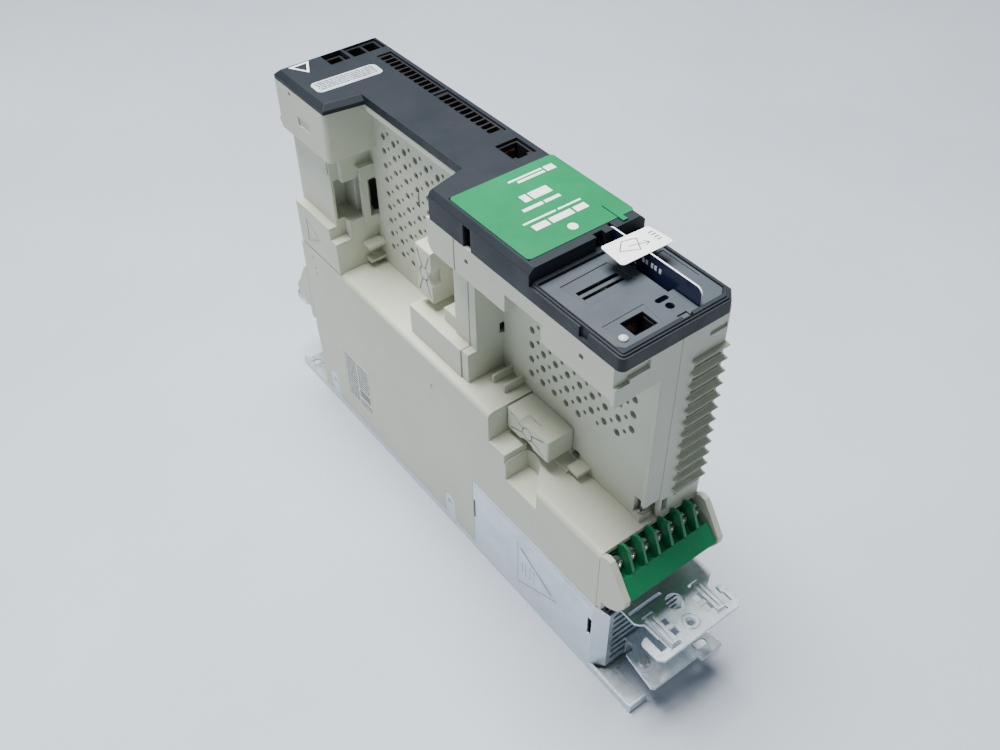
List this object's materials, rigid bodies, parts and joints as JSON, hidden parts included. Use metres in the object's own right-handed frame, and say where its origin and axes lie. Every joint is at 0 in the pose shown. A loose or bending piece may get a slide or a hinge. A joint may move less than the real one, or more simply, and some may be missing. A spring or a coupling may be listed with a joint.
{
  "type": "servo drive",
  "caption": "Slim book-style servo drive on a back plate, with option bays, a clamp-screw terminal block, a keypad socket and a memory card.",
  "frame": {"origin": "centre of the back plate's rear face", "axes": "+Z out through the front panel, +Y towards the power-terminal end, +X towards the side with the two option bays"},
  "size_m": [0.062, 0.34, 0.2265],
  "materials": {
    "galvanised_sheet": "galvanised steel sheet with a faint spangle",
    "zinc_sheet": "bright zinc-plated steel sheet",
    "plated_screw": "zinc-plated steel fasteners",
    "heatsink_aluminium": "extruded aluminium, as extruded",
    "beige_plastic": "fine-textured putty beige moulding",
    "charcoal_plastic": "fine-textured dark charcoal moulding",
    "green_terminal_plastic": "glass-filled green terminal moulding",
    "green_film": "printed green polyester film",
    "silver_label": "silver polyester label",
    "white_mark": "white printed mark",
    "brass": "tin-flashed brass contacts",
    "black_connector_plastic": "black connector moulding",
    "green_board": "green solder mask on glass-epoxy board",
    "capacitor_sleeve": "dark heat-shrink sleeve",
    "copper_winding": "enamelled copper winding",
    "insulating_sheet": "brown insulating sheet",
    "clear_lens": "clear light pipe",
    "navy_card": "navy printed card with white edges",
    "white_paper": "white paper"
  },
  "bodies": {
    "drive": {"back_plate": "galvanised_sheet", "ground_bracket_near": "galvanised_sheet", "ground_bracket_far": "galvanised_sheet", "support_bracket": "galvanised_sheet", "heatsink_cover": "zinc_sheet", "base_screws": "plated_screw", "bracket_screws": "plated_screw", "seam_screw": "plated_screw", "heatsink": "heatsink_aluminium", "lower_housing": "beige_plastic", "right_shell": "beige_plastic", "far_left_shell": "beige_plastic", "near_left_shell": "beige_plastic", "near_terminal_shroud": "beige_plastic", "far_terminal_shroud": "beige_plastic", "option_cap_1": "beige_plastic", "option_cap_2": "beige_plastic", "front_panel": "charcoal_plastic", "keypad_plate": "charcoal_plastic", "power_terminal_block": "green_terminal_plastic", "motor_connector": "green_terminal_plastic", "green_label": "green_film", "rating_label": "silver_label", "data_label": "silver_label", "caution_mark": "white_mark", "terminal_contacts": "brass", "header_contacts": "brass", "control_header_a": "black_connector_plastic", "control_header_b": "black_connector_plastic", "mid_jack": "black_connector_plastic", "front_jack": "black_connector_plastic", "corner_connector": "black_connector_plastic", "signal_socket": "black_connector_plastic", "option_header_1": "black_connector_plastic", "option_header_2": "black_connector_plastic", "card_reader": "black_connector_plastic", "inrush_relays": "black_connector_plastic", "link_connector": "black_connector_plastic", "power_module": "black_connector_plastic", "fan_frame": "black_connector_plastic", "control_board": "green_board", "power_board": "green_board", "connector_board": "green_board", "keypad_board": "green_board", "bus_capacitors": "capacitor_sleeve", "line_choke": "copper_winding", "air_duct_plate": "insulating_sheet", "status_lens": "clear_lens"},
    "card": {"memory_card": "navy_card", "card_flag": "white_paper"},
    "fan": {"fan_rotor": "black_connector_plastic"},
    "clamp_1": {"clamp_screw_1": "plated_screw"},
    "clamp_2": {"clamp_screw_2": "plated_screw"},
    "clamp_3": {"clamp_screw_3": "plated_screw"},
    "clamp_4": {"clamp_screw_4": "plated_screw"},
    "clamp_5": {"clamp_screw_5": "plated_screw"},
    "clamp_6": {"clamp_screw_6": "plated_screw"},
    "clamp_7": {"clamp_screw_7": "plated_screw"}
  },
  "joints": [
    {"name": "card_slide", "type": "slide", "parent": "drive", "child": "card", "axis": [0, 0, 1], "range_m": [0, 0.076]},
    {"name": "fan_spin", "type": "hinge", "parent": "drive", "child": "fan", "pos_m": [0, -0.1199, 0.0295], "axis": [0, 1, 0], "continuous": true},
    {"name": "clamp_screw_1_turn", "type": "hinge", "parent": "drive", "child": "clamp_1", "pos_m": [-0.0243, 0.1326, 0.0889], "axis": [0, 0.7071, 0.7071], "continuous": true},
    {"name": "clamp_screw_2_turn", "type": "hinge", "parent": "drive", "child": "clamp_2", "pos_m": [-0.0162, 0.1326, 0.0889], "axis": [0, 0.7071, 0.7071], "continuous": true},
    {"name": "clamp_screw_3_turn", "type": "hinge", "parent": "drive", "child": "clamp_3", "pos_m": [-0.0081, 0.1326, 0.0889], "axis": [0, 0.7071, 0.7071], "continuous": true},
    {"name": "clamp_screw_4_turn", "type": "hinge", "parent": "drive", "child": "clamp_4", "pos_m": [0, 0.1326, 0.0889], "axis": [0, 0.7071, 0.7071], "continuous": true},
    {"name": "clamp_screw_5_turn", "type": "hinge", "parent": "drive", "child": "clamp_5", "pos_m": [0.0081, 0.1326, 0.0889], "axis": [0, 0.7071, 0.7071], "continuous": true},
    {"name": "clamp_screw_6_turn", "type": "hinge", "parent": "drive", "child": "clamp_6", "pos_m": [0.0162, 0.1326, 0.0889], "axis": [0, 0.7071, 0.7071], "continuous": true},
    {"name": "clamp_screw_7_turn", "type": "hinge", "parent": "drive", "child": "clamp_7", "pos_m": [0.0243, 0.1326, 0.0889], "axis": [0, 0.7071, 0.7071], "continuous": true}
  ]
}
